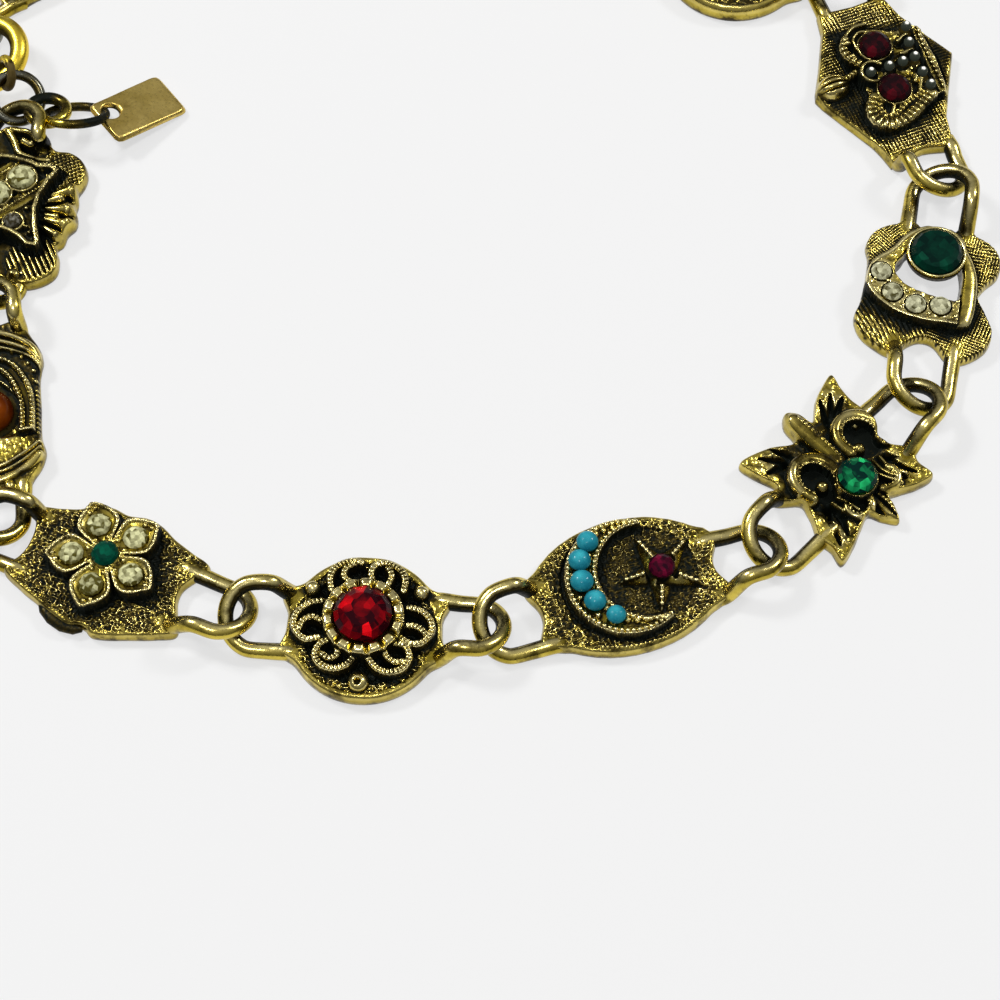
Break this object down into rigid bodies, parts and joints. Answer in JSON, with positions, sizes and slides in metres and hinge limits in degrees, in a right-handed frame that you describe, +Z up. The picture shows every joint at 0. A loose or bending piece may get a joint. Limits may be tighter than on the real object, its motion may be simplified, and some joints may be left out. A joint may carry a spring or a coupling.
{
  "type": "link bracelet",
  "caption": "Closed loop of cast gilt links with raised motifs and set stones, joined eye through eye, with a spring ring and a small bare tag.",
  "frame": {"origin": "centre of the loop's box, on the surface that it lies on", "axes": "+Z up out of the plates' faces, +X along the loop's longer side, +Y from the near side of the loop, with the rosette link, towards its far side"},
  "size_m": [0.0736, 0.0662, 0.0036],
  "materials": {
    "antique_gold": "cast, gilt, dark patina in the recesses",
    "bright_gold": "polished bright gold plate",
    "pale_gold": "pale satin gold sheet",
    "ruby": "faceted red glass, foil backed",
    "garnet": "faceted dark red glass, foil backed",
    "emerald": "faceted green glass, foil backed",
    "amber": "domed amber glass",
    "turquoise": "opaque turquoise glass, domed",
    "clear_stone": "small clear glass stones, foil backed, a little yellowed",
    "pearl": "small imitation pearls"
  },
  "bodies": {
    "root": {"link_lozenge": "antique_gold", "link_horseshoe": "antique_gold", "link_blossom": "antique_gold", "link_rosette": "antique_gold", "link_crescent": "antique_gold", "link_fleur": "antique_gold", "link_heart": "antique_gold", "link_crown": "antique_gold", "link_disc": "antique_gold", "link_oval": "antique_gold", "link_shield": "antique_gold", "link_cushion": "antique_gold", "horseshoe_stone": "amber", "rosette_stone": "ruby", "fleur_stone": "emerald", "heart_stone": "emerald", "crown_stone_a": "garnet", "crown_stone_b": "garnet", "disc_stone": "emerald", "oval_stone": "garnet", "shield_stone": "amber", "cushion_stone": "ruby", "catch_ring": "antique_gold", "jump_ring": "antique_gold", "tag_jump_ring": "antique_gold", "tag_ring": "antique_gold", "clasp_ring": "bright_gold", "hang_tag": "pale_gold"}
  },
  "joints": []
}
